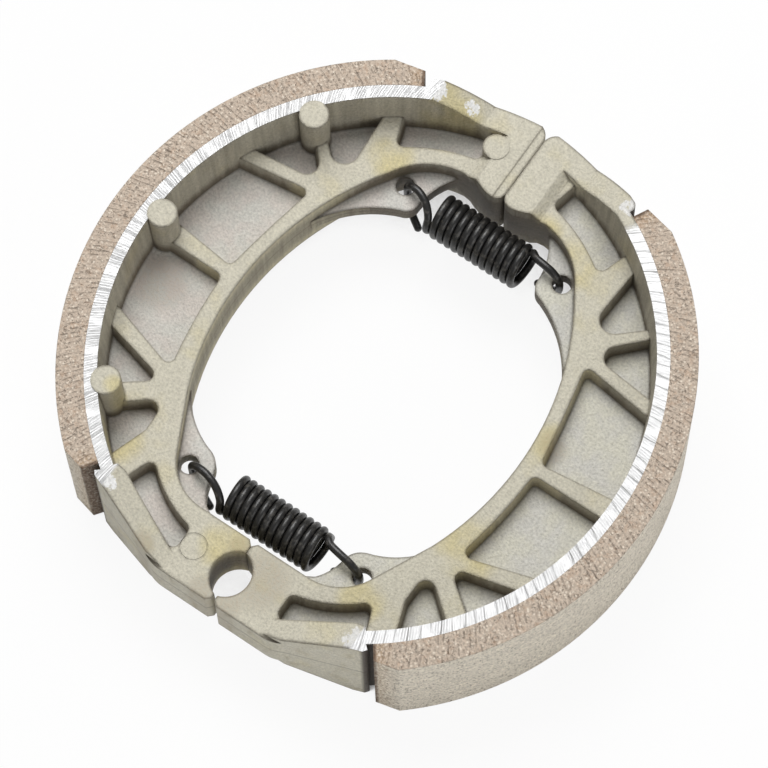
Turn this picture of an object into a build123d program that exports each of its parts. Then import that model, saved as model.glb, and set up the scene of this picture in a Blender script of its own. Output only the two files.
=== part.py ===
from build123d import *
import math
import os

os.makedirs("parts", exist_ok=True)

# Frame: millimetres, shoes lying flat, +Z up from the resting plane, +Y toward the cam end,
# the split between the two shoes on x = 0 and the drum's axis on y = 0.
# The right shoe is drawn; the left one is the same casting turned half round.

# Widths, symmetric about the middle plane of the drum's width
width = 25.0
mid_z = width / 2
rim_half = 12.3
rib_half = 5.0
pad_half = 6.5
web_half = 1.5

# Drum side: arcs about a centre that lies beyond the split while the shoes are closed
closed_shift = 2.7
drum_radius = 55.0
seat_radius = 50.35
rim_inner_radius = 48.15
rim_web_radius = 47.4
pocket_radius = 48.0
open_radius = 46.8
skirt_radius = 51.9
rim_start, rim_end = -55.0, 63.0
skirt_end = 84.0
lining_start, lining_end = -53.7, 61.9
bevel_start, bevel_end = -49.6, 56.3
bevel_radius = 53.2

# Gaps that keep the closed shoes from binding
face_gap = 0.05
heel_relief = 0.25

# Anchor end
seat_y = -42.2
seat_shift = 1.15
pin_seat_radius = 4.5
heel_y = -48.1
heel_corner = 0.8
block_y = -35.6
shoulder = (26.4, -42.6)
anchor_ramp = (9.8, 24.5)

# Cam end
toe_radius = 2.5
shoulder_radius = 1.2
cam_ramp = (10.3, 18.6)
pad_y = 36.3
pad_corner = 1.8
pad_length = 5.6
pad_foot = 7.1
pad_strip = 1.5
pad_step = 0.25
boss_centre = (6.1, 44.2)
boss_radius = 2.3
boss_height = 0.12

# Posts and spring holes
post_radius = 2.55
post_circle = 46.7
post_angles = (39.6, 1.2, -37.2)
hole_radius = 1.65
cam_hole = (15.9, 31.4)
anchor_hole = (17.35, -29.8)

# Casting draft
draft = 6.0

# Reach of cutting profiles, beyond any wall
reach = 60.0

# Return springs: ten-sided turns of six-sided wire, hooked into the lugs from above
wire_radius = 0.7
coil_radius = 3.4
coil_pitch = 1.42
coil_turns = 12.625
coil_start = -8.9
coil_z = 12.6
steps_per_turn = 10
cam_spring_y = 30.7
anchor_spring_y = -29.8


def arc_point(radius, angle):
    a = math.radians(angle)
    return (radius * math.cos(a) - closed_shift, radius * math.sin(a))


def arc_angle(point):
    return math.degrees(math.atan2(point[1], point[0] + closed_shift))


def centre_distance(vertex):
    return math.hypot(vertex.X + closed_shift, vertex.Y)


def on_pocket_arc(y):
    return (math.sqrt(pocket_radius**2 - y**2) - closed_shift, y)


def arc_between(start, end, radius):
    middle = arc_point(radius, (arc_angle(start) + arc_angle(end)) / 2)
    return ThreePointArc(start, middle, end)


def pocket(corner, inner, bends, rim=None):
    # a drafted recess, the same on both sides of the web; corners past open_radius lie in a wall
    # inner: its corners from the rim side's upper end round to the lower one
    # bends: a point that side n passes through where it curves; rim: the rim side's ends in y
    points = list(inner)
    if rim:
        points = [on_pocket_arc(rim[0]), on_pocket_arc(rim[1])] + points
        bends = {**bends, 0: arc_point(pocket_radius, (arc_angle(points[0]) + arc_angle(points[1])) / 2)}
    with BuildPart() as recess:
        with BuildSketch(Plane.XY.offset(mid_z + rib_half)) as mouth:
            with BuildLine():
                for n, start in enumerate(points):
                    end = points[(n + 1) % len(points)]
                    if n in bends:
                        ThreePointArc(start, bends[n], end)
                    else:
                        Line(start, end)
            make_face()
            fillet(mouth.vertices().filter_by(lambda v: centre_distance(v) < open_radius), corner)
        extrude(amount=web_half - rib_half, taper=draft)
        mirror(about=Plane.XY.offset(mid_z))
    return recess.part


def plan_wall(outline):
    with BuildPart() as wall:
        with BuildSketch(Plane.XY):
            with BuildLine():
                outline()
            make_face()
        extrude(amount=width)
    return wall.part


def rim_sector(outer_radius, start_angle, end_angle):
    # the rim's section, drafted inside on both sides of the middle, swept about the arc centre
    a = math.radians(start_angle)
    section_plane = Plane(
        origin=(-closed_shift, 0, mid_z),
        x_dir=(math.cos(a), math.sin(a), 0),
        z_dir=(math.sin(a), -math.cos(a), 0),
    )
    with BuildPart() as sector:
        with BuildSketch(section_plane):
            Polygon(
                (rim_web_radius, 0),
                (rim_inner_radius, rim_half),
                (outer_radius, rim_half),
                (outer_radius, -rim_half),
                (rim_inner_radius, -rim_half),
                align=None,
            )
        revolve(axis=Axis((-closed_shift, 0, 0), (0, 0, 1)), revolution_arc=end_angle - start_angle)
    return sector.part


def trimmed(wall, profile):
    # a wall cut to the height that an x-z profile gives
    with BuildPart() as cut:
        add(wall)
        with BuildSketch(Plane.XZ.offset(reach)):
            Polygon(*profile, align=None)
        extrude(amount=-2 * reach, mode=Mode.INTERSECT)
    return cut.part


toe_arc_angle = 85.2
toe_start = (face_gap, 49.6)
toe_end = arc_point(skirt_radius, toe_arc_angle)
pad_side = (face_gap, pad_y + pad_corner)
pad_tip = (face_gap + pad_corner, pad_y)
rail_end = (5.2, 37.3)
cam_root = arc_point(skirt_radius, 64.5)
heel = (face_gap + heel_relief, heel_y)
block_end = (10.5, heel_y)
skirt_foot = (13.6, -47.2)


def rib_plate_outline():
    # contact face of the cam end, toe, cam skirt, rim, anchor skirt, heel
    Line(pad_side, toe_start)
    RadiusArc(toe_start, toe_end, toe_radius)
    arc_between(toe_end, cam_root, skirt_radius)
    rim_top = arc_point(seat_radius, rim_end)
    rim_bottom = arc_point(seat_radius, rim_start)
    Line(cam_root, rim_top)
    arc_between(rim_top, rim_bottom, seat_radius)
    Polyline(rim_bottom, shoulder, skirt_foot)
    ThreePointArc(skirt_foot, (12.1, -47.85), block_end)
    Polyline(block_end, (heel[0] + heel_corner, heel_y), (heel[0], heel_y + heel_corner))
    Line((heel[0], heel_y + heel_corner), (heel[0], seat_y))
    # anchor block and the inner rail
    Polyline((heel[0], seat_y), (face_gap, seat_y), (face_gap, block_y - heel_corner))
    Polyline((face_gap, block_y - heel_corner), (face_gap + heel_corner, block_y), (11.0, block_y))
    ThreePointArc((11.0, block_y), (16.4, -33.7), (19.6, -29.6))
    Line((19.6, -29.6), (24.4, -19.8))
    ThreePointArc((24.4, -19.8), (28.3, 0.1), (24.4, 20.1))
    ThreePointArc((24.4, 20.1), (21.9, 25.5), (18.7, 30.8))
    ThreePointArc((18.7, 30.8), (14.6, 35.4), (8.2, 37.7))
    Line((8.2, 37.7), rail_end)
    ThreePointArc(rail_end, (3.6, 36.6), pad_tip)
    RadiusArc(pad_tip, pad_side, pad_corner)


def anchor_skirt_outline():
    rim_corner_point = arc_point(seat_radius, rim_start)
    Polyline(rim_corner_point, (26.95, -41.9), shoulder, skirt_foot)
    Polyline(skirt_foot, (7.0, -48.0), (7.0, -45.97), (22.9, -38.9))
    Polyline((22.9, -38.9), arc_point(rim_web_radius, rim_start), rim_corner_point)


def tapered_wall(half_height, ramp):
    foot_x, full_x = ramp
    low, high = mid_z - half_height, mid_z + half_height
    bottom, top = mid_z - rim_half, mid_z + rim_half
    upper = [(0, high), (foot_x, high), (full_x, top), (40, top)]
    lower = [(40, bottom), (full_x, bottom), (foot_x, low), (0, low)]
    return upper + lower


def pad_outline():
    Line(pad_side, toe_start)
    RadiusArc(toe_start, toe_end, toe_radius)
    pad_end = arc_point(skirt_radius, 79.0)
    arc_between(toe_end, pad_end, skirt_radius)
    Polyline(pad_end, (pad_foot, 46.0), (pad_foot, 40.0), (pad_foot, 37.65), rail_end)
    ThreePointArc(rail_end, (3.6, 36.6), pad_tip)
    RadiusArc(pad_tip, pad_side, pad_corner)


def pad_profile():
    low, high = mid_z - pad_half, mid_z + pad_half
    rib_low, rib_high = mid_z - rib_half, mid_z + rib_half
    upper = [(0, high), (pad_length, high), (pad_foot, rib_high)]
    lower = [(pad_foot, rib_low), (pad_length, low), (pad_strip + 0.2, low)]
    return upper + lower + [(pad_strip, low + pad_step), (0, low + pad_step)]


def cam_lug_outline():
    Polyline((8.0, 39.0), (9.6, 36.9))
    ThreePointArc((9.6, 36.9), (11.3, 33.8), (12.1, 29.9))
    ThreePointArc((12.1, 29.9), (12.6, 28.2), (14.2, 27.2))
    ThreePointArc((14.2, 27.2), (19.8, 23.9), (25.4, 17.0))
    Polyline((25.4, 17.0), (28.0, 17.0), (26.0, 28.0), (18.0, 38.0), (8.0, 39.0))


def anchor_lug_outline():
    Polyline((9.0, -38.0), (9.2, -35.0), (10.9, -34.0))
    ThreePointArc((10.9, -34.0), (12.4, -31.6), (13.1, -28.7))
    ThreePointArc((13.1, -28.7), (14.0, -27.0), (15.6, -25.9))
    ThreePointArc((15.6, -25.9), (20.6, -23.4), (24.6, -19.0))
    Polyline((24.6, -19.0), (28.0, -19.0), (25.0, -30.0), (18.0, -38.0), (9.0, -38.0))


recesses = [
    pocket(1.3, [(7.3, 41.1), (20.6, 35.0)], {2: (14.9, 38.6)}, (40.8, 46.66)),
    pocket(2.5, [(24.35, 24.0)], {}, (31.8, 38.9)),
    pocket(2.1, [(26.8, 22.8)], {}, (21.3, 30.5)),
    pocket(1.1, [(27.8, 20.5), (31.2, 1.85)], {2: (29.9, 10.0)}, (3.5, 18.6)),
    pocket(1.2, [(31.3, -0.3), (28.9, -18.7)], {2: (30.5, -10.0)}, (-14.4, -0.3)),
    pocket(1.3, [(28.7, -21.15)], {}, (-27.2, -17.9)),
    pocket(1.7, [(26.15, -23.1), (26.0, -29.9)], {}, (-36.6, -30.1)),
    pocket(1.2, [(24.0, -38.3), (21.9, -32.9), (10.0, -39.4), (10.0, -44.53)], {1: (16.8, -36.9)}),
]
rim = rim_sector(seat_radius, rim_start, rim_end)
pad = trimmed(plan_wall(pad_outline), pad_profile())
with BuildPart() as cam_wall:
    add(rim_sector(skirt_radius, rim_end, skirt_end))
    start_corner = (*arc_point(skirt_radius, rim_end), mid_z)
    fillet(cam_wall.edges().filter_by(Axis.Z).sort_by_distance(start_corner)[0], shoulder_radius)
cam_skirt = trimmed(cam_wall.part, tapered_wall(pad_half, cam_ramp))
anchor_skirt = trimmed(plan_wall(anchor_skirt_outline), tapered_wall(rib_half, anchor_ramp))

with BuildPart() as right_shoe:
    # rib plate, pocketed on both sides
    with BuildSketch(Plane.XY.offset(mid_z - rib_half)):
        with BuildLine():
            rib_plate_outline()
        make_face()
    extrude(amount=2 * rib_half)
    for recess in recesses:
        add(recess, mode=Mode.SUBTRACT)

    # rim that the lining is bonded to, and the walls that run on past its ends
    add(rim)
    add(cam_skirt)
    add(anchor_skirt)
    add(pad)

    # ejector boss in the pad's corner, on the posts' side
    with BuildSketch(Plane.XY.offset(mid_z - pad_half - boss_height)):
        with Locations(boss_centre):
            Circle(boss_radius)
    extrude(amount=pad_half + boss_height)

    # spring lugs, level with the web
    for outline in (cam_lug_outline, anchor_lug_outline):
        with BuildSketch(Plane.XY.offset(mid_z - web_half)):
            with BuildLine():
                outline()
            make_face()
        extrude(amount=2 * web_half)

    # posts on the ribs, proud of the rim
    with BuildSketch(Plane.XY):
        with Locations(*[arc_point(post_circle, a) for a in post_angles]):
            Circle(post_radius)
    extrude(amount=mid_z)

    # spring holes and the anchor pin's half seat
    with BuildSketch(Plane.XY):
        with Locations(cam_hole, anchor_hole):
            Circle(hole_radius)
        with Locations((-seat_shift, seat_y)):
            Circle(pin_seat_radius)
    extrude(amount=width, mode=Mode.SUBTRACT)

half_turn = Axis((0, 0, mid_z), (0, 1, 0))
with BuildPart() as left_shoe:
    add(right_shoe.part.rotate(half_turn, 180))

with BuildPart() as right_lining:
    with BuildSketch(Plane.XY.offset(mid_z - rim_half)):
        with BuildLine():
            inner_low = arc_point(seat_radius, lining_start)
            inner_high = arc_point(seat_radius, lining_end)
            outer_low = arc_point(drum_radius, bevel_start)
            outer_high = arc_point(drum_radius, bevel_end)
            Polyline(inner_low, arc_point(bevel_radius, lining_start), outer_low)
            arc_between(outer_low, outer_high, drum_radius)
            Polyline(outer_high, arc_point(bevel_radius, lining_end), inner_high)
            arc_between(inner_high, inner_low, seat_radius)
        make_face()
    extrude(amount=2 * rim_half)

with BuildPart() as left_lining:
    add(right_lining.part.rotate(half_turn, 180))


# Hook shapes: share of the way in x, share of the way in y from coil end to hole, height
left_hook = [
    (0.05, 0.27, 15.0), (0.25, 0.63, 16.1), (0.53, 0.88, 16.5), (0.79, 0.97, 16.0),
    (0.93, 1.0, 14.3), (0.94, 1.0, 11.3), (0.85, 0.83, 9.6), (0.58, 0.5, 8.5), (0.33, 0.22, 8.2),
]
right_hook = [
    (0.14, 0.47, 15.9), (0.39, 0.7, 16.3), (0.68, 0.85, 16.0), (0.9, 1.0, 14.6),
    (0.93, 1.0, 11.3), (0.86, 1.0, 9.7), (0.62, 1.1, 8.8), (0.35, 1.2, 8.8),
]


def hook_points(start, hole, shape):
    dx, dy = hole[0] - start[0], hole[1] - start[1]
    return [(start[0] + u * dx, start[1] + v * dy, z) for u, v, z in shape]


def spring_route(axis_y, hole):
    count = math.ceil(coil_turns * steps_per_turn)
    coil = []
    for n in range(count + 1):
        turn = coil_turns * n / count
        a = math.pi * (1 + 2 * turn)
        coil.append((
            coil_start + coil_pitch * turn,
            axis_y + coil_radius * math.cos(a),
            coil_z + coil_radius * math.sin(a),
        ))
    tail = hook_points(coil[0], (-hole[0], hole[1]), left_hook)
    head = hook_points(coil[-1], hole, right_hook)
    return [Vector(*p) for p in tail[::-1] + coil + head]


def spring(axis_y, hole):
    route = spring_route(axis_y, hole)
    with BuildPart() as wire:
        with BuildLine() as path:
            Polyline(*route)
        with BuildSketch(Plane(route[0], z_dir=route[1] - route[0])):
            RegularPolygon(wire_radius, 6)
        sweep(path=path.wires()[0], transition=Transition.RIGHT)
    return wire.part


with BuildPart() as cam_spring:
    add(spring(cam_spring_y, cam_hole))

with BuildPart() as anchor_spring:
    add(spring(anchor_spring_y, anchor_hole))

right_shoe.part.label = "right_shoe"
left_shoe.part.label = "left_shoe"
right_lining.part.label = "right_lining"
left_lining.part.label = "left_lining"
cam_spring.part.label = "cam_spring"
anchor_spring.part.label = "anchor_spring"

export_step(right_shoe.part, "parts/right_shoe.step")
export_step(left_shoe.part, "parts/left_shoe.step")
export_step(right_lining.part, "parts/right_lining.step")
export_step(left_lining.part, "parts/left_lining.step")
export_step(cam_spring.part, "parts/cam_spring.step")
export_step(anchor_spring.part, "parts/anchor_spring.step")
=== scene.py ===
import math

import bpy
import numpy as np
from mathutils import Matrix, Vector


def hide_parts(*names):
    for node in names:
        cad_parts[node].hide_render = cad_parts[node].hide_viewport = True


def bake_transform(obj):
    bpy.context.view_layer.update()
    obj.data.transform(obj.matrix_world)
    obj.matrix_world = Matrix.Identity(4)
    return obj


bl_info = {
    "name": "Drum Brake Shoe Pair",
    "version": (1, 0, 0),
    "blender": (4, 5, 0),
    "location": "View3D > Sidebar > Brake shoes",
    "description": "Dresses a pair of drum brake shoes: castings, linings, springs and the studio",
    "category": "Object",
}

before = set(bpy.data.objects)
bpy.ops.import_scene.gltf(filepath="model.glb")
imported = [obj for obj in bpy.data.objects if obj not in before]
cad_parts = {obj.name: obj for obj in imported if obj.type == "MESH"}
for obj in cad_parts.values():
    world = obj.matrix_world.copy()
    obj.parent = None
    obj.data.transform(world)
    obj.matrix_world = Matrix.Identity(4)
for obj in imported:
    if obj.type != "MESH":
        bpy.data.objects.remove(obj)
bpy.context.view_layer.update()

MM = 0.001
DEGREE = math.pi / 180
# In millimetres: how far past the split the arc centre of each closed shoe lies, the radius of the
# lining's seat, and the height of the middle plane
ARC_SHIFT = 2.7
SEAT_RADIUS = 50.35
MID_HEIGHT = 12.5
# Angle at the middle of each lining, from the split's normal
LINING_MIDDLE = 4.1 * DEGREE

# Every mask rises from 0 at its first value to 1 at its second
# Masks on the size of the normal's upward part
MOSTLY_LEVEL = (0.5, 0.8)
LEVEL = (0.7, 0.9)
FLAT = (0.85, 0.95)
STEEP = (0.75, 0.35)
UPRIGHT = (0.3, 0.1)
# Masks on the radius in millimetres
HUB_SIDE = (40.2, 38.8)
OUTER_SIDE = (48.1, 48.5)
INSIDE_RIM = (48.9, 48.6)
LINING_SEAT = (49.9, 50.2)
# Masks on the height off the middle plane in millimetres
WEB = (1.8, 1.55)
FOOT = (5.2, 1.6)
RIM_EDGE = (8.0, 12.5)
ABOVE_RIBS = (12.1, 12.25)
BELOW_POSTS = (12.42, 12.36)
# Masks along y in millimetres; the skirts' take y without its sign
CAM_END = (20.0, 30.0)
SKIRT = (45.6, 46.4)
BEFORE_SKIRT = SKIRT[::-1]
# Masks on the distance from a thin line in millimetres
RING_LINE = (0.16, 0.03)
SEAM_LINE = (0.16, 0.04)
# Masks on the angle from the lining's middle
GLUED = (60.5 * DEGREE, 59.5 * DEGREE)
SINGED = (53.5 * DEGREE, 57.0 * DEGREE)
BURNT = (57.0 * DEGREE, 57.6 * DEGREE)
# Mask on the angle from the split's normal, where the right rim's faced side stops short
FACE_END = (62.0 * DEGREE, 60.0 * DEGREE)
# Mask on the cosine between the soft and the true normal
TURNED = (0.99, 0.72)
# Mask on how open the floor is to the sky
OPEN_FLOOR = (0.05, 0.28)

# Colours of small marks, next to those that the panel sets; 1 is the right shoe and -1 the left
SCRAPED_METAL = {1: (0.8, 0.79, 0.76), -1: (0.93, 0.925, 0.91)}
STAIN_BROWN = (0.25, 0.17, 0.1)
SMEAR_BROWN = (0.36, 0.3, 0.17)
SCUFF_GREY = (0.78, 0.77, 0.74)
GLUE_BLACK = (0.045, 0.03, 0.02)
TOOL_GREY = (0.16, 0.155, 0.145)
RUST = (0.52, 0.33, 0.21)
SINGED_BROWN = (0.45, 0.28, 0.14)
BURNT_BROWN = (0.12, 0.07, 0.042)
WORN_STEEL = (0.075, 0.07, 0.062)

# Centre in plan and radius, in millimetres, of the marked patches on each casting
OCHRE_SPOTS = {
    1: ((15.5, 34.0, 6.0), (9.0, 35.5, 5.0), (29.4, -16.5, 7.0), (31.0, 6.0, 4.5), (20.0, -34.0, 5.0)),
    -1: ((-15.5, 44.2, 6.5), (-3.5, -38.5, 5.5), (-28.5, -33.6, 5.0), (-33.0, -28.3, 2.2),
         (-20.0, 33.0, 5.0)),
}
STAIN_SPOTS = {
    1: ((2.6, -46.5, 3.0), (4.5, -40.5, 6.5), (31.0, 6.0, 3.0)),
    -1: ((-40.0, -6.5, 6.0), (-2.5, -47.0, 3.0), (-1.6, -37.6, 2.2), (-14.5, -46.6, 2.6)),
}
SCRAPED_SPOTS = {
    1: ((19.6, 45.4, 2.6), (24.2, -41.6, 3.4)),
    -1: ((-13.0, 47.2, 2.1), (-18.9, 45.2, 3.0), (-23.9, -42.1, 2.2)),
}
# The ring that an ejector pin leaves on the right shoe; on the left one x changes its sign
RING_CENTRE = (7.75, -41.85)
RING_RADIUS = 2.3

# The facing tool's marks: slant at the split's normal and its change with each radian, then how
# bright the dull bands are and how dark the spaced lines and the fine strokes are
TOOL_MARKS = {
    1: {"slant": 0.33, "turn": 0.0, "dull": 0.86, "lines": 0.65, "strokes": 0.2},
    -1: {"slant": -0.08, "turn": -0.6, "dull": 0.7, "lines": 0.4, "strokes": 0.35},
}
# Thin lines: spacing and half width in millimetres, and for the saw's cuts their slant and length
LINE_WIDTH = 0.14
STROKE_PITCH, STROKE_WIDTH = 0.47, 0.13
SAW_PITCH, SAW_WIDTH, SAW_SLANT, SAW_LENGTH = 0.85, 0.16, 0.3, 1.8

CAST_ROUGHNESS = 0.62
FACED_ROUGHNESS = 0.4
FACED_METALLIC = 0.3
LINING_ROUGHNESS = 0.82
DARKEST_SHADE = 0.92
# Depth in metres and strength of the grain
GRAIN = (0.0003, 0.9)
SPRING_GRAIN = (0.00006, 0.6)
# Radius in metres that the lining's edges are shaded with
LINING_EDGE_ROUND = 0.0003

# Spring route in millimetres, the same coil and hooks as the frame's
COIL_START = -8.9
COIL_PITCH = 1.42
COIL_TURNS = 12.625
COIL_END = COIL_START + COIL_PITCH * COIL_TURNS
COIL_RADIUS = 3.4
COIL_HEIGHT = 12.6
SPRINGS = {
    "cam_spring": {"axis_y": 30.7, "hole": (15.9, 31.4)},
    "anchor_spring": {"axis_y": -29.8, "hole": (17.35, -29.8)},
}
# Share of the way from coil end to hole in x and in y, then the height
LEFT_HOOK = (
    (0.05, 0.27, 15.0), (0.25, 0.63, 16.1), (0.53, 0.88, 16.5), (0.79, 0.97, 16.0),
    (0.93, 1.0, 14.3), (0.94, 1.0, 11.3), (0.85, 0.83, 9.6), (0.58, 0.5, 8.5), (0.33, 0.22, 8.2),
)
RIGHT_HOOK = (
    (0.14, 0.47, 15.9), (0.39, 0.7, 16.3), (0.68, 0.85, 16.0), (0.9, 1.0, 14.6),
    (0.93, 1.0, 11.3), (0.86, 1.0, 9.7), (0.62, 1.1, 8.8), (0.35, 1.2, 8.8),
)
# Spacing of the wire's rings in millimetres, the rings in each round end, and the steps on each
# span of a hook
RING_GAP = 0.42
ROUND_END_RINGS = 5
HOOK_STEPS = 12

# The floor's half side and the reach of the shade in the part's gaps, in metres, then how white
# the open floor is
FLOOR_HALF = 3.0
GAP_REACH = 0.02
OPEN_WHITE = 0.92
# Each lamp's place and side, and the point that both face, in metres
KEY_LAMP = ((-0.28, 0.32, 0.75), 0.55)
SIDE_LAMP = ((0.68, -0.28, 0.3), 0.5)
LAMP_AIM = (0, 0, 0.01)
# The point that the camera looks at, in millimetres
VIEW_POINT = (0.93, 0.40, MID_HEIGHT)
SENSOR_WIDTH = 36


class BRAKE_PG_castings(bpy.types.PropertyGroup):
    alloy: bpy.props.FloatVectorProperty(
        name="Alloy", description="Colour of the skin as it leaves the die",
        subtype="COLOR", size=3, min=0, max=1, default=(0.63, 0.595, 0.485))
    floor_grey: bpy.props.FloatVectorProperty(
        name="Pocket grey", description="Colour of the web between the ribs",
        subtype="COLOR", size=3, min=0, max=1, default=(0.655, 0.64, 0.59))
    floor_tint: bpy.props.FloatVectorProperty(
        name="Pocket tint", description="Second colour of the web, in patches on the right casting",
        subtype="COLOR", size=3, min=0, max=1, default=(0.685, 0.665, 0.57))
    floor_blush: bpy.props.FloatVectorProperty(
        name="Pocket blush", description="Second colour of the web, in patches on the left casting",
        subtype="COLOR", size=3, min=0, max=1, default=(0.67, 0.62, 0.57))
    ochre: bpy.props.FloatVectorProperty(
        name="Ochre", description="Tint of the release film, in patches",
        subtype="COLOR", size=3, min=0, max=1, default=(0.64, 0.56, 0.3))
    # The wall shade is the colour of the shade painted on walls, their feet and turned edges; the parting
    # line takes it too
    shade: bpy.props.FloatVectorProperty(
        name="Wall shade", description="Colour that walls, edges and the parting line darken to",
        subtype="COLOR", size=3, min=0, max=1, default=(0.125, 0.1, 0.07))
    machined: bpy.props.FloatVectorProperty(
        name="Machined", description="Colour of the faced rim",
        subtype="COLOR", size=3, min=0, max=1, default=(0.87, 0.87, 0.87))
    line_pitch: bpy.props.FloatVectorProperty(
        name="Line pitch", description="Spacing of the tool lines on the right and the left rim, in mm",
        size=2, min=0.1, default=(1.9, 1.25))
    edge_round: bpy.props.FloatProperty(
        name="Edge rounding", description="Radius that edges and feet of walls are shaded with",
        subtype="DISTANCE", unit="LENGTH", min=0, default=0.0011)


class BRAKE_PG_linings(bpy.types.PropertyGroup):
    side: bpy.props.FloatVectorProperty(
        name="Sawn side", description="Colour of the lining's side faces",
        subtype="COLOR", size=3, min=0, max=1, default=(0.6, 0.497, 0.4))
    rubbing: bpy.props.FloatVectorProperty(
        name="Friction face", description="Colour of the ground face that meets the drum",
        subtype="COLOR", size=3, min=0, max=1, default=(0.88, 0.805, 0.675))
    fleck: bpy.props.FloatVectorProperty(
        name="Flecks", description="Colour of the pale grains in the friction material",
        subtype="COLOR", size=3, min=0, max=1, default=(0.95, 0.84, 0.7))
    pit: bpy.props.FloatVectorProperty(
        name="Pits", description="Colour of pits and dark grains",
        subtype="COLOR", size=3, min=0, max=1, default=(0.2, 0.15, 0.115))


class BRAKE_PG_springs(bpy.types.PropertyGroup):
    wire: bpy.props.FloatProperty(
        name="Wire", description="Diameter of the spring wire",
        subtype="DISTANCE", unit="LENGTH", min=0.0005, default=0.00138)
    black: bpy.props.FloatVectorProperty(
        name="Black", description="Colour of the oiled finish",
        subtype="COLOR", size=3, min=0, max=1, default=(0.014, 0.0135, 0.013))
    roughness: bpy.props.FloatProperty(
        name="Roughness", description="Roughness of the oiled finish",
        subtype="FACTOR", min=0, max=1, default=0.36)


class BRAKE_PG_stage(bpy.types.PropertyGroup):
    azimuth: bpy.props.FloatProperty(
        name="Azimuth", description="Camera's turn from looking along +Y, towards +X",
        subtype="ANGLE", unit="ROTATION", default=math.radians(-36.37))
    elevation: bpy.props.FloatProperty(
        name="Elevation", description="Camera's height above the horizon",
        subtype="ANGLE", unit="ROTATION", default=math.radians(70.19))
    roll: bpy.props.FloatProperty(
        name="Roll", description="Camera's turn about its own axis",
        subtype="ANGLE", unit="ROTATION", default=math.radians(-2.01))
    distance: bpy.props.FloatProperty(
        name="Distance", description="From the camera to the point it looks at",
        subtype="DISTANCE", unit="LENGTH", min=0.1, default=0.6707)
    lens: bpy.props.FloatProperty(
        name="Focal length", description="For a sensor 36 mm wide", unit="CAMERA", default=188.4)
    key_power: bpy.props.FloatProperty(
        name="Key light", description="Power of the large overhead light", unit="POWER",
        min=0, default=6.0)
    side_power: bpy.props.FloatProperty(
        name="Side light", description="Power of the soft light on the camera's right", unit="POWER",
        min=0, default=1.5)
    fill: bpy.props.FloatProperty(
        name="Room light", description="Strength of the light from all sides", min=0, default=0.3)


# Node trees


def fresh_material(name):
    """A material with an empty tree but for its output and one Principled shader."""
    material = bpy.data.materials.new(name)
    material.use_nodes = True
    tree = material.node_tree
    tree.nodes.clear()
    out = tree.nodes.new("ShaderNodeOutputMaterial")
    surface = tree.nodes.new("ShaderNodeBsdfPrincipled")
    tree.links.new(surface.outputs[0], out.inputs[0])
    return material, tree, surface


def put(tree, socket, value):
    """Links an output to a socket, or sets the socket's own value."""
    if isinstance(value, bpy.types.NodeSocket):
        tree.links.new(value, socket)
    else:
        socket.default_value = value


def maths(tree, operation, a, b=0.0):
    """One Math node; returns its output."""
    n = tree.nodes.new("ShaderNodeMath")
    n.operation = operation
    put(tree, n.inputs[0], a)
    put(tree, n.inputs[1], b)
    return n.outputs[0]


def product(tree, first, *others):
    """Multiplies outputs and numbers."""
    for other in others:
        first = maths(tree, "MULTIPLY", first, other)
    return first


def total(tree, first, *others):
    """Adds outputs and numbers."""
    for other in others:
        first = maths(tree, "ADD", first, other)
    return first


def less(tree, a, b):
    """The first value less the second."""
    return maths(tree, "SUBTRACT", a, b)


def apart(tree, a, b):
    """How far apart two values are."""
    return maths(tree, "ABSOLUTE", less(tree, a, b))


def step(tree, value, low, high):
    """0 below low, 1 above high, smooth between; low above high turns it round."""
    n = tree.nodes.new("ShaderNodeMapRange")
    n.interpolation_type = "SMOOTHSTEP"
    turned = low > high
    put(tree, n.inputs["Value"], value)
    n.inputs["From Min"].default_value = min(low, high)
    n.inputs["From Max"].default_value = max(low, high)
    n.inputs["To Min"].default_value = 1.0 if turned else 0.0
    n.inputs["To Max"].default_value = 0.0 if turned else 1.0
    return n.outputs[0]


def colours(tree, factor, a, b, blend="MIX"):
    """Mixes two colours by a factor."""
    n = tree.nodes.new("ShaderNodeMix")
    n.data_type = "RGBA"
    n.blend_type = blend
    put(tree, n.inputs[0], factor)
    for socket, value in ((n.inputs[6], a), (n.inputs[7], b)):
        put(tree, socket, value if isinstance(value, bpy.types.NodeSocket) else (*value, 1.0))
    return n.outputs[2]


def tinted(tree, base, colour, mask, amount=1.0):
    """Lays a colour over a base where a mask is 1, as thick as the amount says."""
    return colours(tree, mask if amount == 1.0 else product(tree, mask, amount), base, colour)


def toned(tree, base, tone):
    """Multiplies a colour by one number."""
    return colours(tree, 1.0, base, combine(tree, tone, tone, tone), "MULTIPLY")


def noise(tree, vector, scale, detail=2.0, rough=0.5):
    """Noise from 0 to 1 over a vector in millimetres."""
    n = tree.nodes.new("ShaderNodeTexNoise")
    put(tree, n.inputs["Vector"], vector)
    n.inputs["Scale"].default_value = scale
    n.inputs["Detail"].default_value = detail
    n.inputs["Roughness"].default_value = rough
    return n.outputs[0]


def cells(tree, vector, scale):
    """Distance to the nearest centre of a cell pattern over a vector in millimetres."""
    n = tree.nodes.new("ShaderNodeTexVoronoi")
    put(tree, n.inputs["Vector"], vector)
    n.inputs["Scale"].default_value = scale
    return n.outputs["Distance"]


def combine(tree, x, y, z=0.0):
    """A vector from three numbers."""
    n = tree.nodes.new("ShaderNodeCombineXYZ")
    for socket, value in zip(n.inputs, (x, y, z)):
        put(tree, socket, value)
    return n.outputs[0]


def separate(tree, vector):
    """The three parts of a vector."""
    n = tree.nodes.new("ShaderNodeSeparateXYZ")
    tree.links.new(vector, n.inputs[0])
    return n.outputs


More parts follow.
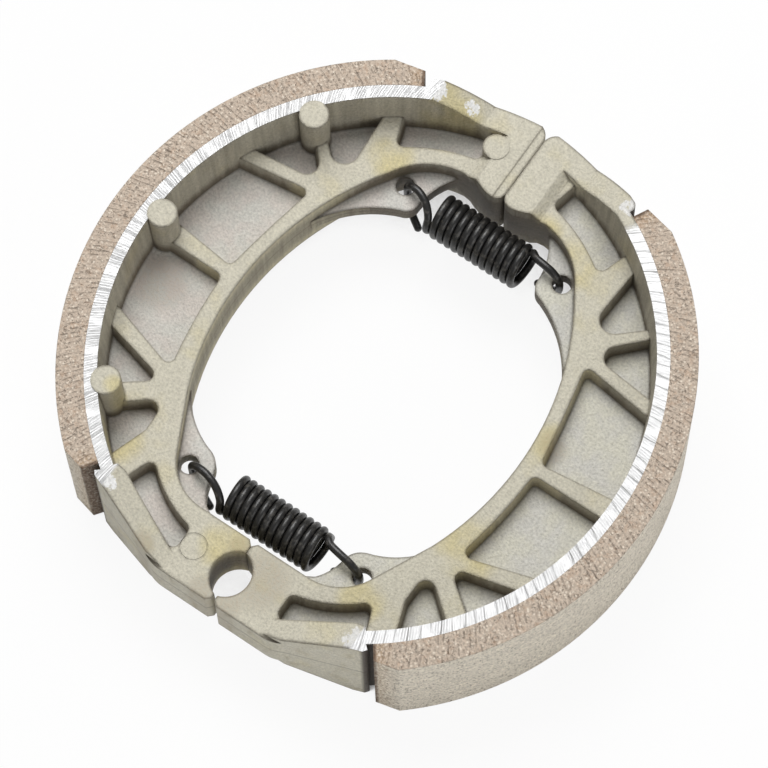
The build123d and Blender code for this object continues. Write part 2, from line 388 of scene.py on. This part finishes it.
def millimetres(tree):
    """Object coordinates in millimetres."""
    place = tree.nodes.new("ShaderNodeTexCoord")
    scaled = tree.nodes.new("ShaderNodeVectorMath")
    scaled.operation = "SCALE"
    tree.links.new(place.outputs["Object"], scaled.inputs[0])
    scaled.inputs["Scale"].default_value = 1 / MM
    return scaled.outputs[0]


def surface_normal(tree, kind):
    """The surface's own normal: Normal as it is shaded, True Normal as its facets lie."""
    return tree.nodes.new("ShaderNodeNewGeometry").outputs[kind]


def shoe_coordinates(tree, side):
    """Object coordinates in millimetres and what follows from them for one shoe.

    side is 1 for the right shoe and -1 for the left. Gives the point and its parts, its radius and
    angle about the shoe's arc centre, the way along the lining's seat, the angle from the lining's
    middle, the height off the middle plane, and the normal's upward part with and without its sign.
    """
    point = millimetres(tree)
    x, y, z = separate(tree, point)
    out = total(tree, product(tree, x, float(side)), ARC_SHIFT)
    radius = maths(tree, "SQRT", total(tree, product(tree, out, out), product(tree, y, y)))
    angle = maths(tree, "ARCTAN2", y, out)
    up = separate(tree, surface_normal(tree, "True Normal"))[2]
    return {
        "point": point, "x": x, "y": y, "z": z, "radius": radius, "angle": angle,
        "along": product(tree, angle, SEAT_RADIUS), "from_middle": apart(tree, angle, LINING_MIDDLE),
        "lift": apart(tree, z, MID_HEIGHT), "up": up, "flat": maths(tree, "ABSOLUTE", up),
    }


def soft_normal(tree, radius):
    """Normals that turn over near edges and at the feet of walls."""
    soft = tree.nodes.new("ShaderNodeBevel")
    soft.samples = 6
    soft.inputs["Radius"].default_value = radius
    return soft.outputs[0]


def turned_mask(tree, soft):
    """0 where soft normals agree with the facets, rising to 1 where they turn away."""
    match = tree.nodes.new("ShaderNodeVectorMath")
    match.operation = "DOT_PRODUCT"
    tree.links.new(soft, match.inputs[0])
    tree.links.new(surface_normal(tree, "True Normal"), match.inputs[1])
    return step(tree, match.outputs["Value"], *TURNED)


def relief(tree, surface, height, distance, strength, soft=None, crisp=0.0):
    """Bump from a height, over soft normals if given, except where crisp is 1."""
    bump = tree.nodes.new("ShaderNodeBump")
    put(tree, bump.inputs["Height"], height)
    bump.inputs["Distance"].default_value = distance
    bump.inputs["Strength"].default_value = strength
    if soft:
        mix = tree.nodes.new("ShaderNodeMix")
        mix.data_type = "VECTOR"
        put(tree, mix.inputs[0], crisp)
        tree.links.new(soft, mix.inputs[4])
        tree.links.new(surface_normal(tree, "Normal"), mix.inputs[5])
        tree.links.new(mix.outputs[1], bump.inputs["Normal"])
    tree.links.new(bump.outputs[0], surface.inputs["Normal"])


def square_away(tree, at, x, y):
    """Square of the distance in plan from a point."""
    dx, dy = less(tree, at["x"], x), less(tree, at["y"], y)
    return total(tree, product(tree, dx, dx), product(tree, dy, dy))


def pin_ring(tree, at, side):
    """1 on the thin ring that the ejector pin leaves on the posts' side."""
    away = maths(tree, "SQRT", square_away(tree, at, side * RING_CENTRE[0], RING_CENTRE[1]))
    ring = step(tree, apart(tree, away, RING_RADIUS), *RING_LINE)
    return product(tree, ring, step(tree, product(tree, at["up"], float(-side)), *MOSTLY_LEVEL))


def patches(tree, at, spots):
    """1 inside soft round patches, each given by its centre in plan and its radius."""
    found = 0.0
    for x, y, radius in spots:
        patch = step(tree, square_away(tree, at, x, y), radius * radius, 0.1 * radius * radius)
        found = maths(tree, "MAXIMUM", found, patch)
    return found


def leaning(tree, at, slant):
    """The way along the arc, which leans over by the slant across it."""
    return total(tree, at["along"], product(tree, less(tree, at["radius"], SEAT_RADIUS), slant))


def cut_lines(tree, at, lean, pitch, width, length=0.0):
    """1 on thin lines, a pitch apart along the leaning way; with a length they come and go."""
    wander = noise(tree, combine(tree, product(tree, at["along"], 0.5), 0.0), scale=0.8, detail=1.0)
    run = maths(tree, "DIVIDE", total(tree, lean, product(tree, wander, pitch)), pitch)
    off = apart(tree, maths(tree, "FRACT", run), 0.5)
    line = step(tree, off, width / pitch, 0.25 * width / pitch)
    press = noise(tree, combine(tree, product(tree, at["along"], 0.35), 0.0, 3.0), scale=1.0, detail=1.0)
    line = product(tree, line, step(tree, press, 0.3, 0.65))
    if length:
        across = maths(tree, "DIVIDE", at["radius"], length)
        stroke = noise(tree, combine(tree, product(tree, at["along"], 1.3), across), scale=1.0, detail=1.0)
        line = product(tree, line, step(tree, stroke, 0.42, 0.58))
    return line


def cast_skin(tree, at, side, look, cloud, on_web):
    """Colour of the bare casting: alloy under a patchy film, the greyer web, and scraped spots."""
    film = product(tree, patches(tree, at, OCHRE_SPOTS[side]), step(tree, cloud, 0.2, 0.55))
    haze = step(tree, cloud, 0.52, 0.75)
    film = total(tree, product(tree, film, 0.8), product(tree, haze, 0.3))
    skin = colours(tree, film, look.alloy, look.ochre)

    bloom = noise(tree, at["point"], scale=0.22)
    second = look.floor_tint if side > 0 else look.floor_blush
    web = colours(tree, step(tree, bloom, 0.35, 0.65), look.floor_grey, second)
    skin = tinted(tree, skin, web, on_web)

    chips = noise(tree, at["point"], scale=0.7, detail=4.0, rough=0.75)
    scraped = product(tree, patches(tree, at, SCRAPED_SPOTS[side]), 0.6)
    scraped = step(tree, total(tree, scraped, chips), 0.96, 1.06)
    scraped = product(tree, scraped, step(tree, at["flat"], *MOSTLY_LEVEL))
    return tinted(tree, skin, SCRAPED_METAL[side], scraped)


def paint_wall_shade(tree, at, look, skin, soft, on_web):
    """Paints shade on the walls between rib tops and web, most at their feet, and on every turned edge."""
    before_skirt = step(tree, maths(tree, "ABSOLUTE", at["y"]), *BEFORE_SKIRT)
    wall = product(tree, step(tree, at["flat"], *STEEP), step(tree, at["radius"], *INSIDE_RIM),
                   before_skirt)
    # Painted shade: darker towards the feet of the walls; the streaks are partly real ejection marks,
    # partly painted wall shade
    foot = step(tree, at["lift"], *FOOT)
    streak = noise(tree, combine(tree, at["along"], product(tree, at["z"], 0.08)), scale=0.7, rough=0.6)
    dark = total(tree, product(tree, foot, 0.55), product(tree, streak, 0.8))
    dark = product(tree, wall, dark)

    # Painted shade on the walls that face the hub, deeper near the cam end and eased off away from it
    hub_side = product(tree, wall, step(tree, at["radius"], *HUB_SIDE))
    near_cam = step(tree, at["y"], *CAM_END)
    hub_wall_shade = less(tree, product(tree, near_cam, 0.7), 0.38)
    dark = total(tree, dark, product(tree, hub_side, hub_wall_shade))
    waxed = product(tree, hub_side, less(tree, 1.0, near_cam))
    skin = tinted(tree, skin, look.ochre, waxed, amount=0.4)

    # Painted shade in creases and on rounded edges, where the soft normals turn away, stronger on the web
    turned = turned_mask(tree, soft)
    edge_and_crease_shade = product(tree, turned, total(tree, turned, product(tree, on_web, 0.25)))
    dark = maths(tree, "MINIMUM", maths(tree, "MAXIMUM", dark, edge_and_crease_shade), DARKEST_SHADE)
    return tinted(tree, skin, look.shade, dark)


def soiled(tree, at, side, look, skin, grain, cloud):
    """Stains, the parting line, and what the rim's outer side carries: smears, scuffs and glue."""
    stain = product(tree, patches(tree, at, STAIN_SPOTS[side]), step(tree, grain, 0.3, 0.7))
    skin = tinted(tree, skin, STAIN_BROWN, stain, amount=0.42)

    upright = step(tree, at["flat"], *UPRIGHT)
    parting = apart(tree, at["lift"], product(tree, cloud, 0.25))
    seam = product(tree, step(tree, parting, *SEAM_LINE), upright)
    skin = tinted(tree, skin, look.shade, seam, amount=0.5)

    on_skirt = step(tree, maths(tree, "ABSOLUTE", at["y"]), *SKIRT)
    outer = maths(tree, "MAXIMUM", step(tree, at["radius"], *OUTER_SIDE), on_skirt)
    outer = product(tree, outer, upright)
    drift = combine(tree, product(tree, at["along"], 0.35), product(tree, at["z"], 0.22))
    smear = step(tree, noise(tree, drift, scale=1.0, detail=4.0, rough=0.65), 0.5, 0.7)
    smear = total(tree, smear, product(tree, step(tree, at["lift"], *RIM_EDGE), 0.5))
    skin = tinted(tree, skin, SMEAR_BROWN, product(tree, outer, smear), amount=0.4)
    rubbed = combine(tree, product(tree, at["along"], 0.3), at["z"])
    scuff = step(tree, noise(tree, rubbed, scale=2.4, rough=0.6), 0.66, 0.7)
    skin = tinted(tree, skin, SCUFF_GREY, product(tree, scuff, outer), amount=0.5)

    glue = product(tree, upright, step(tree, at["radius"], *LINING_SEAT),
                   step(tree, at["from_middle"], *GLUED))
    return tinted(tree, skin, GLUE_BLACK, glue, amount=0.94)


def faced_rim(tree, at, side, look, grain):
    """Mask, colour and height of the rim's faced sides, with the lines that the tool left."""
    faced = product(tree, step(tree, at["lift"], *ABOVE_RIBS), step(tree, at["lift"], *BELOW_POSTS),
                    step(tree, at["flat"], *FLAT))
    if side > 0:
        ragged = total(tree, at["angle"], product(tree, grain, 0.03))
        faced = product(tree, faced, step(tree, ragged, *FACE_END))

    tool = TOOL_MARKS[side]
    slant = total(tree, product(tree, at["angle"], tool["turn"]), tool["slant"])
    lean = leaning(tree, at, slant)
    lines = cut_lines(tree, at, lean, look.line_pitch[0 if side > 0 else 1], LINE_WIDTH)
    strokes = cut_lines(tree, at, lean, STROKE_PITCH, STROKE_WIDTH)
    feed = combine(tree, product(tree, lean, 3.2), product(tree, at["radius"], 0.3))
    feed = noise(tree, feed, scale=1.0, detail=3.0, rough=0.7)
    dull = tuple(c * tool["dull"] for c in look.machined)
    bright = colours(tree, step(tree, feed, 0.42, 0.66), dull, look.machined)
    marks = maths(tree, "MAXIMUM", product(tree, lines, tool["lines"]),
                  product(tree, strokes, tool["strokes"]))
    bright = tinted(tree, bright, TOOL_GREY, marks)
    height = less(tree, product(tree, feed, 0.4), product(tree, marks, 0.7))
    return faced, bright, height


def casting_material(side, look):
    """Matte alloy: ribs, greyer web, painted wall shade, ochre film, and the faced rim with tool marks."""
    name = "casting_right" if side > 0 else "casting_left"
    material, tree, surface = fresh_material(name)
    at = shoe_coordinates(tree, side)
    grain = noise(tree, at["point"], scale=2.3, detail=3.0, rough=0.7)
    cloud = noise(tree, at["point"], scale=0.16)
    on_web = product(tree, step(tree, at["lift"], *WEB), step(tree, at["flat"], *LEVEL))
    soft = soft_normal(tree, look.edge_round)

    skin = cast_skin(tree, at, side, look, cloud, on_web)
    skin = paint_wall_shade(tree, at, look, skin, soft, on_web)
    skin = soiled(tree, at, side, look, skin, grain, cloud)
    skin = toned(tree, skin, total(tree, grain, 0.5))
    faced, bright, tool_height = faced_rim(tree, at, side, look, grain)
    smoother = product(tree, faced, CAST_ROUGHNESS - FACED_ROUGHNESS)
    tree.links.new(tinted(tree, skin, bright, faced), surface.inputs["Base Color"])
    tree.links.new(product(tree, faced, FACED_METALLIC), surface.inputs["Metallic"])
    tree.links.new(less(tree, CAST_ROUGHNESS, smoother), surface.inputs["Roughness"])

    height = tree.nodes.new("ShaderNodeMix")
    put(tree, height.inputs[0], faced)
    put(tree, height.inputs[2], less(tree, grain, product(tree, pin_ring(tree, at, side), 0.9)))
    put(tree, height.inputs[3], tool_height)
    relief(tree, surface, height.outputs[0], *GRAIN, soft, faced)
    return material


def lining_material(side, look):
    """Moulded friction material: flecked sawn sides, a ground face with streaks, burnt ends."""
    name = "lining_right" if side > 0 else "lining_left"
    material, tree, surface = fresh_material(name)
    at = shoe_coordinates(tree, side)
    on_side = step(tree, at["flat"], *LEVEL)
    on_face = less(tree, 1.0, on_side)

    ground = combine(tree, product(tree, at["along"], 0.12), at["z"])
    streaks = step(tree, noise(tree, ground, scale=1.6, detail=3.0, rough=0.6), 0.3, 0.7)
    face = colours(tree, streaks, tuple(c * 0.8 for c in look.rubbing), look.rubbing)
    base = tinted(tree, face, look.side, on_side)
    body = noise(tree, at["point"], scale=2.3, detail=3.0, rough=0.7)
    base = toned(tree, base, total(tree, product(tree, step(tree, body, 0.25, 0.75), 0.6), 0.68))

    crumbs = step(tree, cells(tree, at["point"], scale=1.35), 0.36, 0.2)
    pale = total(tree, product(tree, on_side, 0.4), 0.25)
    base = tinted(tree, base, look.fleck, product(tree, crumbs, pale))
    pits = step(tree, noise(tree, at["point"], scale=2.2, rough=0.6), 0.4, 0.32)
    base = tinted(tree, base, look.pit, pits, amount=0.5)
    cuts = cut_lines(tree, at, leaning(tree, at, SAW_SLANT), SAW_PITCH, SAW_WIDTH, SAW_LENGTH)
    cuts = product(tree, cuts, on_side)
    base = tinted(tree, base, look.pit, cuts, amount=0.5)
    specks = step(tree, noise(tree, at["point"], scale=2.3, detail=1.0), 0.34, 0.28)
    base = tinted(tree, base, look.pit, product(tree, specks, on_face), amount=0.8)
    rusty = step(tree, noise(tree, at["point"], scale=0.9, detail=3.0, rough=0.7), 0.5, 0.68)
    base = tinted(tree, base, RUST, product(tree, rusty, on_side), amount=0.35)

    singed = product(tree, step(tree, at["from_middle"], *SINGED), step(tree, body, 0.62, 0.4))
    base = tinted(tree, base, SINGED_BROWN, singed, amount=0.5)
    char = total(tree, product(tree, step(tree, body, 0.7, 0.35), 0.35), 0.6)
    base = tinted(tree, base, BURNT_BROWN, product(tree, step(tree, at["from_middle"], *BURNT), char))
    tree.links.new(base, surface.inputs["Base Color"])
    surface.inputs["Roughness"].default_value = LINING_ROUGHNESS

    raised = total(tree, body, product(tree, crumbs, 0.2))
    sunk = total(tree, product(tree, pits, 0.6), product(tree, cuts, 0.8))
    relief(tree, surface, less(tree, raised, sunk), *GRAIN, soft_normal(tree, LINING_EDGE_ROUND))
    return material


def spring_material(look):
    """Black oiled steel, a little worn."""
    material, tree, surface = fresh_material("spring_black")
    point = millimetres(tree)
    wear = step(tree, noise(tree, point, scale=1.1, detail=3.0, rough=0.6), 0.5, 0.72)
    tree.links.new(colours(tree, wear, look.black, WORN_STEEL), surface.inputs["Base Color"])
    surface.inputs["Roughness"].default_value = look.roughness
    surface.inputs["Specular IOR Level"].default_value = 0.6
    relief(tree, surface, noise(tree, point, scale=3.0, rough=0.6), *SPRING_GRAIN)
    return material


# Shapes


def smooth_route(points, steps):
    """A curve through points: each span is a cubic, and its slope at a point is half the step
    between that point's two neighbours."""
    p = np.asarray(points, float)
    padded = np.vstack([2 * p[0] - p[1], p, 2 * p[-1] - p[-2]])
    a, b = padded[1:-2], padded[2:-1]
    slope_a, slope_b = (b - padded[:-3]) / 2, (padded[3:] - a) / 2
    t = np.linspace(0, 1, steps, endpoint=False)[None, :, None]
    a, b, slope_a, slope_b = (v[:, None, :] for v in (a, b, slope_a, slope_b))
    spans = (2 * t**3 - 3 * t**2 + 1) * a + (t**3 - 2 * t**2 + t) * slope_a
    spans += (3 * t**2 - 2 * t**3) * b + (t**3 - t**2) * slope_b
    return np.vstack([spans.reshape(-1, 3), p[-1:]])


def spring_route(axis_y, hole, samples=48):
    """Centre line of a hooked spring, in millimetres: tail and hook, a helix about X, hook and tail."""
    turn = np.linspace(0, COIL_TURNS, int(COIL_TURNS * samples))
    angle = np.pi * (1 + 2 * turn)
    coil = np.stack([COIL_START + COIL_PITCH * turn,
                     axis_y + COIL_RADIUS * np.cos(angle),
                     COIL_HEIGHT + COIL_RADIUS * np.sin(angle)], 1)

    def hook(start, end, shape):
        return [(start[0] + u * (end[0] - start[0]), start[1] + v * (end[1] - start[1]), z)
                for u, v, z in shape]

    # The hooks' curves take over a sixth of a turn at each end of the coil
    lead = samples // 6
    left = hook(coil[0], (-hole[0], hole[1]), LEFT_HOOK)[::-1] + [coil[0], coil[lead]]
    right = [coil[-1 - lead], coil[-1]] + hook(coil[-1], hole, RIGHT_HOOK)
    left_curve = smooth_route(left, HOOK_STEPS)
    right_curve = smooth_route(right, HOOK_STEPS)
    return np.vstack([left_curve[:-1], coil[lead:-1 - lead], right_curve])


def wire_mesh(name, route, radius, sides=20):
    """A round wire along a route, with half-round ends.

    Each ring is the circle centre + radius * (cos a * normal + sin a * binormal). The normals are
    the cross of the tangent with a guide, mostly Y on the hooks and X on the coil, turned back by
    the running sum of their own twist. The end rings move out by the sine and shrink by the cosine
    of their share of a quarter turn.
    """
    gap = np.linalg.norm(np.diff(route, axis=0), axis=1)
    length = np.concatenate([[0], np.cumsum(gap)])
    even = np.linspace(0, length[-1], int(length[-1] / RING_GAP))
    route = np.stack([np.interp(even, length, route[:, k]) for k in range(3)], 1)
    tangent = np.gradient(route, axis=0)
    tangent /= np.linalg.norm(tangent, axis=1)[:, None]
    coiled = np.clip(np.minimum(route[:, 0] - COIL_START, COIL_END - route[:, 0]), 0, 1)
    guide = np.stack([0.15 + coiled, 1.0 - coiled, np.zeros(len(route))], 1)
    normal = np.cross(tangent, guide)
    normal /= np.linalg.norm(normal, axis=1)[:, None]
    binormal = np.cross(tangent, normal)
    twist = np.einsum("ij,ij->i", np.diff(normal, axis=0), binormal[:-1])
    back = -np.concatenate([[0], np.cumsum(twist)])[:, None]
    normal, binormal = (np.cos(back) * normal + np.sin(back) * binormal,
                        np.cos(back) * binormal - np.sin(back) * normal)

    q = np.linspace(0, np.pi / 2, ROUND_END_RINGS + 2)[1:-1]
    head = route[0] - tangent[0] * radius * np.sin(q)[::-1, None]
    foot = route[-1] + tangent[-1] * radius * np.sin(q)[:, None]
    centres = np.vstack([head, route, foot])
    grow = np.concatenate([np.cos(q)[::-1], np.ones(len(route)), np.cos(q)]) * radius
    n, b = (np.vstack([np.repeat(v[:1], len(q), 0), v, np.repeat(v[-1:], len(q), 0)])
            for v in (normal, binormal))
    a = np.linspace(0, 2 * np.pi, sides, endpoint=False)
    rings = centres[:, None] + grow[:, None, None] * (
        np.cos(a)[None, :, None] * n[:, None] + np.sin(a)[None, :, None] * b[:, None])
    poles = np.stack([route[0] - tangent[0] * radius, route[-1] + tangent[-1] * radius])
    vertices = np.vstack([rings.reshape(-1, 3), poles]) * MM

    rows = len(centres)
    i, j = np.meshgrid(np.arange(rows - 1), np.arange(sides), indexing="ij")
    j2 = (j + 1) % sides
    quads = np.stack([i * sides + j, i * sides + j2, (i + 1) * sides + j2, (i + 1) * sides + j], -1)
    k = np.arange(sides)
    k2 = (k + 1) % sides
    first, last = rows * sides, rows * sides + 1
    start_fan = np.stack([np.full(sides, first), k2, k], 1)
    end_row = (rows - 1) * sides
    end_fan = np.stack([np.full(sides, last), end_row + k, end_row + k2], 1)
    faces = quads.reshape(-1, 4).tolist() + start_fan.tolist() + end_fan.tolist()
    mesh = bpy.data.meshes.new(name)
    mesh.from_pydata(vertices.tolist(), [], faces)
    mesh.shade_smooth()
    mesh.validate()
    obj = bpy.data.objects.new(name, mesh)
    bpy.context.scene.collection.objects.link(obj)
    return obj


# Operators


def dress(obj, material):
    """Puts one material on every face of an object."""
    obj.data.materials.clear()
    obj.data.materials.append(material)


class BRAKE_OT_castings(bpy.types.Operator):
    """Gives both cast shoes their alloy skin and faced rims"""
    bl_idname = "brake.castings"
    bl_label = "Cast shoes"

    def execute(self, context):
        look = context.scene.brake_castings
        for node, side in (("left_shoe", -1), ("right_shoe", 1)):
            dress(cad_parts[node], casting_material(side, look))
        return {"FINISHED"}


class BRAKE_OT_linings(bpy.types.Operator):
    """Gives both linings their friction material"""
    bl_idname = "brake.linings"
    bl_label = "Linings"

    def execute(self, context):
        look = context.scene.brake_linings
        for node, side in (("left_lining", -1), ("right_lining", 1)):
            dress(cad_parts[node], lining_material(side, look))
        return {"FINISHED"}


class BRAKE_OT_springs(bpy.types.Operator):
    """Winds both return springs with their hooks and stretches them between the shoes"""
    bl_idname = "brake.springs"
    bl_label = "Return springs"

    def execute(self, context):
        look = context.scene.brake_springs
        black = spring_material(look)
        for node, place in SPRINGS.items():
            route = spring_route(place["axis_y"], place["hole"])
            coil = wire_mesh(node + "_wire", route, look.wire / MM / 2)
            dress(coil, black)
            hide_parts(node)
            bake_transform(coil)
        return {"FINISHED"}


def view_axes(azimuth, elevation, roll):
    """Right, up and forward of a camera that looks down by the elevation and is rolled."""
    forward = Vector((math.sin(azimuth) * math.cos(elevation),
                      math.cos(azimuth) * math.cos(elevation), -math.sin(elevation)))
    level = Vector((math.cos(azimuth), -math.sin(azimuth), 0))
    upright = level.cross(forward)
    right = math.cos(roll) * level + math.sin(roll) * upright
    up = math.cos(roll) * upright - math.sin(roll) * level
    return right, up, forward


def floor_material():
    """Pale floor: white to the camera in the open, and shaded in the gaps that the part closes in."""
    material = bpy.data.materials.new("studio_floor")
    material.use_nodes = True
    tree = material.node_tree
    tree.nodes.clear()
    out = tree.nodes.new("ShaderNodeOutputMaterial")
    matte = tree.nodes.new("ShaderNodeBsdfDiffuse")
    matte.inputs["Color"].default_value = (0.9, 0.9, 0.9, 1)
    white = tree.nodes.new("ShaderNodeEmission")
    white.inputs["Color"].default_value = (1, 1, 1, 1)
    white.inputs["Strength"].default_value = 1.0
    path = tree.nodes.new("ShaderNodeLightPath")
    seen = maths(tree, "MAXIMUM", path.outputs["Is Camera Ray"], path.outputs["Is Glossy Ray"])
    seen = maths(tree, "MAXIMUM", seen, path.outputs["Is Transmission Ray"])
    sky = tree.nodes.new("ShaderNodeAmbientOcclusion")
    sky.samples = 8
    sky.inputs["Distance"].default_value = GAP_REACH
    open_floor = product(tree, step(tree, sky.outputs["AO"], *OPEN_FLOOR), OPEN_WHITE)
    mix = tree.nodes.new("ShaderNodeMixShader")
    tree.links.new(product(tree, seen, open_floor), mix.inputs[0])
    tree.links.new(matte.outputs[0], mix.inputs[1])
    tree.links.new(white.outputs[0], mix.inputs[2])
    tree.links.new(mix.outputs[0], out.inputs[0])
    return material


def area_light(name, place, size, power):
    """A square area light that faces the part."""
    lamp = bpy.data.lights.new(name, "AREA")
    lamp.shape = "SQUARE"
    lamp.size = size
    lamp.energy = power
    obj = bpy.data.objects.new(name, lamp)
    bpy.context.scene.collection.objects.link(obj)
    aim = Vector(LAMP_AIM) - Vector(place)
    obj.matrix_world = Matrix.Translation(place) @ aim.to_track_quat("-Z", "Y").to_matrix().to_4x4()
    return obj


def room_world(fill):
    """White to the camera, and light of the given strength from all sides."""
    world = bpy.data.worlds.new("room")
    world.use_nodes = True
    tree = world.node_tree
    back = tree.nodes["Background"]
    back.inputs["Color"].default_value = (1, 1, 1, 1)
    path = tree.nodes.new("ShaderNodeLightPath")
    seen = path.outputs["Is Camera Ray"]
    strength = total(tree, product(tree, seen, 1.0 - fill), fill)
    tree.links.new(strength, back.inputs["Strength"])
    return world


def photo_camera(stage):
    """The camera that stands where the photograph was taken from."""
    right, up, forward = view_axes(stage.azimuth, stage.elevation, stage.roll)
    data = bpy.data.cameras.new("photo_camera")
    data.sensor_width = SENSOR_WIDTH
    data.lens = stage.lens
    data.clip_start = 0.05
    data.clip_end = 20
    camera = bpy.data.objects.new("photo_camera", data)
    bpy.context.scene.collection.objects.link(camera)
    spot = Vector(VIEW_POINT) * MM - forward * stage.distance
    turn = Matrix((right, up, -forward)).transposed().to_4x4()
    camera.matrix_world = Matrix.Translation(spot) @ turn
    return camera


class BRAKE_OT_stage(bpy.types.Operator):
    """Lays the pale floor and sets lights, room and camera"""
    bl_idname = "brake.stage"
    bl_label = "Studio"

    def execute(self, context):
        scene = context.scene
        stage = scene.brake_stage
        half = FLOOR_HALF
        mesh = bpy.data.meshes.new("floor")
        mesh.from_pydata([(-half, -half, 0), (half, -half, 0), (half, half, 0), (-half, half, 0)], [],
                         [(0, 1, 2, 3)])
        floor = bpy.data.objects.new("floor", mesh)
        scene.collection.objects.link(floor)
        dress(floor, floor_material())

        area_light("key", *KEY_LAMP, stage.key_power)
        area_light("side", *SIDE_LAMP, stage.side_power)
        scene.world = room_world(stage.fill)
        scene.camera = photo_camera(stage)
        scene.view_settings.view_transform = "Standard"
        return {"FINISHED"}


class BRAKE_PT_panel(bpy.types.Panel):
    """Lists the steps that dress the pair"""
    bl_idname = "BRAKE_PT_panel"
    bl_label = "Brake shoes"
    bl_space_type = "VIEW_3D"
    bl_region_type = "UI"
    bl_category = "Brake shoes"

    def draw(self, context):
        for operator, group in STEPS:
            self.layout.operator(operator.bl_idname)
            settings = getattr(context.scene, group)
            for name in settings.__annotations__:
                self.layout.prop(settings, name)


STEPS = (
    (BRAKE_OT_castings, "brake_castings"),
    (BRAKE_OT_linings, "brake_linings"),
    (BRAKE_OT_springs, "brake_springs"),
    (BRAKE_OT_stage, "brake_stage"),
)
GROUPS = {
    "brake_castings": BRAKE_PG_castings,
    "brake_linings": BRAKE_PG_linings,
    "brake_springs": BRAKE_PG_springs,
    "brake_stage": BRAKE_PG_stage,
}
CLASSES = tuple(GROUPS.values()) + tuple(step_class for step_class, _ in STEPS) + (BRAKE_PT_panel,)


def register():
    for cls in CLASSES:
        bpy.utils.register_class(cls)
    for name, group in GROUPS.items():
        setattr(bpy.types.Scene, name, bpy.props.PointerProperty(type=group))


def unregister():
    for name in GROUPS:
        delattr(bpy.types.Scene, name)
    for cls in reversed(CLASSES):
        bpy.utils.unregister_class(cls)


def main():
    register()
    bpy.ops.brake.castings()
    bpy.ops.brake.linings()
    bpy.ops.brake.springs()
    bpy.ops.brake.stage()


if __name__ == "__main__":
    main()
